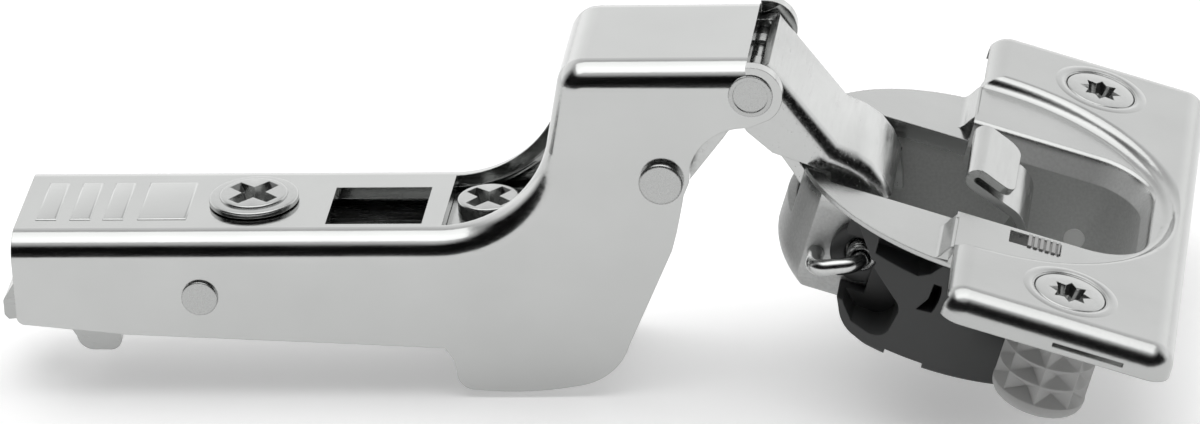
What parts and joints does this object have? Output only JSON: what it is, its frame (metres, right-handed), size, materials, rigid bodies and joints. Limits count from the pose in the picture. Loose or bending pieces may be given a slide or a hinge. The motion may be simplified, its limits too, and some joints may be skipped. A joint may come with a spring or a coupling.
{
  "type": "cranked_concealed_hinge",
  "caption": "Cranked concealed cabinet hinge for an inset door, fully open, with an adjustable clip-on arm, a steel cup with side wings, expanding dowels and a soft-close damper",
  "frame": {"origin": "on the cabinet wall, on the middle plane of the arm, below its rear end", "axes": "+X along the arm towards the cup, +Y across along the pivots, +Z away from the wall"},
  "size_m": [0.1143, 0.0592, 0.0338],
  "materials": {
    "nickel_plate": "bright nickel plate on sheet steel",
    "bare_steel": "satin zinc",
    "dark_plastic": "moulded",
    "grey_plastic": "moulded"
  },
  "bodies": {
    "channel": {"mounting_channel": "nickel_plate", "release_lever_pin": "bare_steel"},
    "lever": {"release_lever": "nickel_plate"},
    "rail": {"adjusting_rail": "nickel_plate", "rear_pivot_pin": "bare_steel"},
    "cam_screw": {"depth_cam_screw": "bare_steel"},
    "arm": {"hinge_arm": "nickel_plate", "front_lower_pin": "bare_steel", "front_upper_pin": "bare_steel", "link_spacer_rings": "grey_plastic"},
    "side_screw": {"side_adjust_screw": "bare_steel"},
    "inner": {"inner_link": "bare_steel"},
    "outer": {"outer_link": "nickel_plate"},
    "cup": {"hinge_cup": "nickel_plate", "cup_double_pin": "bare_steel", "cup_far_stud": "bare_steel", "closing_spring": "bare_steel", "damper_housing": "dark_plastic", "damper_rocker_pin": "bare_steel", "dowel_near": "grey_plastic", "dowel_far": "grey_plastic", "cup_rivet": "bare_steel"},
    "rocker": {"damper_rocker": "nickel_plate"},
    "switch": {"switch_slider": "grey_plastic"},
    "near_screw": {"dowel_screw_near": "bare_steel"},
    "far_screw": {"dowel_screw_far": "bare_steel"}
  },
  "joints": [
    {"name": "depth_slide", "type": "slide", "parent": "channel", "child": "rail", "axis": [1, 0, 0], "range_m": [-0.002, 0.003]},
    {"name": "release", "type": "hinge", "parent": "channel", "child": "lever", "pos_m": [0.0032, 0, 0.0098], "axis": [0, 1, 0], "range_deg": [0, 12], "stiffness_Nm_per_rad": 0.03, "springref_deg": -11.46},
    {"name": "depth_turn", "type": "hinge", "parent": "rail", "child": "cam_screw", "pos_m": [0.0225, 0, 0.017], "axis": [0, 0, 1], "range_deg": [-72, 108]},
    {"name": "side_tilt", "type": "hinge", "parent": "rail", "child": "arm", "pos_m": [0.018, 0, 0.0108], "axis": [0, -1, 0], "range_deg": [-0.9, 0.9]},
    {"name": "side_turn", "type": "hinge", "parent": "arm", "child": "side_screw", "pos_m": [0.04525, 0, 0.017], "axis": [0, 0, 1], "range_deg": [-108, 108]},
    {"name": "inner_swing", "type": "hinge", "parent": "arm", "child": "inner", "pos_m": [0.0631, 0, 0.0228], "axis": [0, 1, 0], "range_deg": [0, 37.05]},
    {"name": "fold", "type": "hinge", "parent": "inner", "child": "cup", "pos_m": [0.07752, 0, 0.01587], "axis": [0, -1, 0], "range_deg": [0, 137]},
    {"name": "outer_swing", "type": "hinge", "parent": "arm", "child": "outer", "pos_m": [0.072, 0, 0.0316], "axis": [0, 1, 0], "range_deg": [0, 37.6]},
    {"name": "rocker_press", "type": "hinge", "parent": "cup", "child": "rocker", "pos_m": [0.0919, 0, 0.00814], "axis": [0, 1, 0], "range_deg": [0, 75]},
    {"name": "switch_slide", "type": "slide", "parent": "cup", "child": "switch", "axis": [-0.9469, 0, 0.3214], "range_m": [0, 0.0016]},
    {"name": "near_turn", "type": "hinge", "parent": "cup", "child": "near_screw", "pos_m": [0.10252, -0.0225, 0.01794], "axis": [0.3214, 0, 0.9469], "continuous": true},
    {"name": "far_turn", "type": "hinge", "parent": "cup", "child": "far_screw", "pos_m": [0.10252, 0.0225, 0.01794], "axis": [0.3214, 0, 0.9469], "continuous": true}
  ],
  "couplings": [
    {"joint": "inner_swing", "follows": "fold", "ratio": 0.27},
    {"joint": "outer_swing", "follows": "fold", "ratio": 0.2737},
    {"joint": "rocker_press", "follows": "fold", "ratio": 0.547},
    {"joint": "depth_turn", "follows": "depth_slide", "rad_per_m": 628},
    {"joint": "side_turn", "follows": "side_tilt", "ratio": 119}
  ]
}
